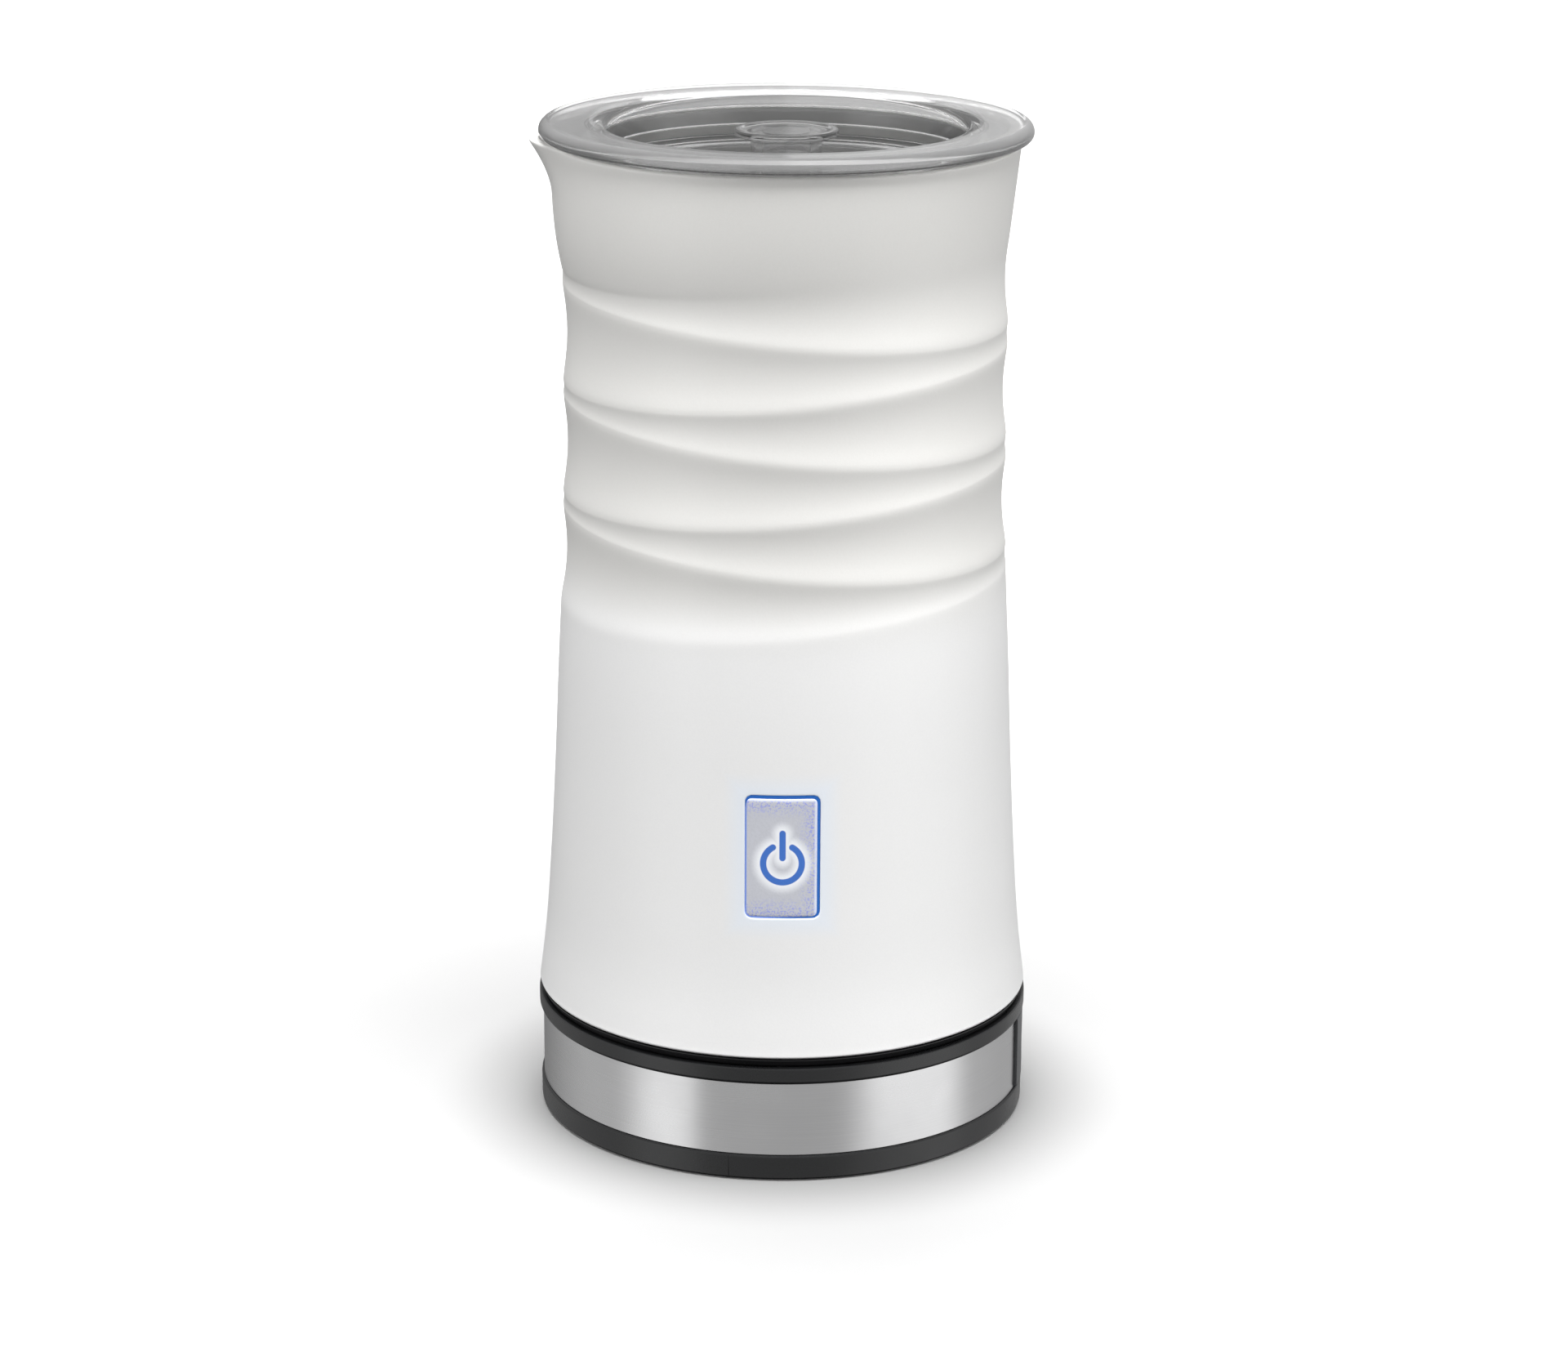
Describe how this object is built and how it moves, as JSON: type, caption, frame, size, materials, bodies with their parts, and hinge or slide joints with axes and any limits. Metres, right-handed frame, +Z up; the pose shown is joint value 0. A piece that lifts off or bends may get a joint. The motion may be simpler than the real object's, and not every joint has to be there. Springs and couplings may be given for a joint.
{
  "type": "milk frother",
  "caption": "Electric milk frother: fluted white jug with a heated steel cup, magnetic whisk, clear lid and lit power button, lifting off a round corded power base.",
  "frame": {"origin": "on the jug's axis, on the surface that the feet stand on", "axes": "+Z up along the jug's axis; -Y towards the button; -X towards the pouring lip; +X towards the cord outlet"},
  "size_m": [0.1012, 0.1008, 0.2044],
  "materials": {
    "white_plastic": "satin moulded white",
    "black_plastic": "satin moulded black",
    "grey_plastic": "fine moulded dark grey",
    "brushed_steel": "fine brushed stainless steel",
    "bare_steel": "plain drawn steel",
    "clear_plastic": "clear polished plastic",
    "lit_plastic": "translucent light guide, lit blue",
    "key_plastic": "fine-grained translucent grey",
    "silicone": "translucent silicone",
    "rubber": "matte black rubber",
    "brass": "plain brass",
    "aluminium": "cast aluminium",
    "magnet_plate": "nickel-plated magnet",
    "circuit_board": "green solder mask"
  },
  "bodies": {
    "base": {"base_lower_housing": "black_plastic", "base_top_cover": "black_plastic", "steel_band": "brushed_steel", "base_connector": "black_plastic", "base_center_contact": "brass", "base_ring_contact": "brass", "cord_gland": "rubber", "cord_clamp": "grey_plastic", "clamp_screw_1": "bare_steel", "clamp_screw_2": "bare_steel", "foot_1": "rubber", "foot_2": "rubber", "foot_3": "rubber", "foot_4": "rubber", "base_screw_1": "bare_steel", "base_screw_2": "bare_steel", "base_screw_3": "bare_steel"},
    "jug_socket": {"jug_connector": "black_plastic", "jug_center_pin": "brass", "jug_ring_contact": "brass"},
    "jug": {"outer_shell": "white_plastic", "inner_cup": "brushed_steel", "rim_seal": "silicone", "jug_bottom_cover": "black_plastic", "jug_screw_1": "bare_steel", "jug_screw_2": "bare_steel", "jug_screw_3": "bare_steel", "light_guide": "lit_plastic", "control_board": "circuit_board", "tact_switch": "black_plastic", "indicator_led_1": "lit_plastic", "indicator_led_2": "lit_plastic", "board_screw_1": "bare_steel", "board_screw_2": "bare_steel", "heater_plate": "aluminium", "heater_element": "bare_steel", "thermostat": "grey_plastic", "thermal_fuse": "bare_steel", "motor_can": "bare_steel", "motor_end_cap": "grey_plastic", "motor_damper": "rubber", "motor_bracket": "bare_steel", "motor_screw_1": "bare_steel", "motor_screw_2": "bare_steel", "whisk_pin": "bare_steel"},
    "button": {"power_button": "key_plastic"},
    "rotor": {"motor_shaft": "bare_steel", "magnet_holder": "grey_plastic", "rotor_magnet_1": "magnet_plate", "rotor_magnet_2": "magnet_plate"},
    "whisk_bush": {"whisk_bush": "bare_steel"},
    "whisk": {"whisk_hub": "black_plastic", "whisk_coil": "bare_steel", "whisk_magnet_1": "magnet_plate", "whisk_magnet_2": "magnet_plate"},
    "lid": {"lid_cover": "clear_plastic", "lid_knob": "clear_plastic", "lid_seal": "silicone"}
  },
  "joints": [
    {"name": "jug_lift", "type": "slide", "parent": "base", "child": "jug_socket", "axis": [0, 0, 1], "range_m": [0, 0.08]},
    {"name": "jug_swivel", "type": "hinge", "parent": "jug_socket", "child": "jug", "pos_m": [0, 0, 0.0234], "axis": [0, 0, 1], "continuous": true},
    {"name": "lid_lift", "type": "slide", "parent": "jug", "child": "lid", "axis": [0, 0, 1], "range_m": [0, 0.05]},
    {"name": "button_press", "type": "slide", "parent": "jug", "child": "button", "axis": [0, 1, 0], "range_m": [0, 0.0008], "stiffness_N_per_m": 1500, "springref_m": -0.0005},
    {"name": "rotor_spin", "type": "hinge", "parent": "jug", "child": "rotor", "pos_m": [0, 0, 0.076], "axis": [0, 0, 1], "continuous": true},
    {"name": "whisk_lift", "type": "slide", "parent": "jug", "child": "whisk_bush", "axis": [0, 0, 1], "range_m": [0, 0.08]},
    {"name": "whisk_spin", "type": "hinge", "parent": "whisk_bush", "child": "whisk", "pos_m": [0, 0, 0.09], "axis": [0, 0, 1], "continuous": true}
  ],
  "couplings": [
    {"joint": "whisk_spin", "follows": "rotor_spin", "ratio": 1}
  ]
}
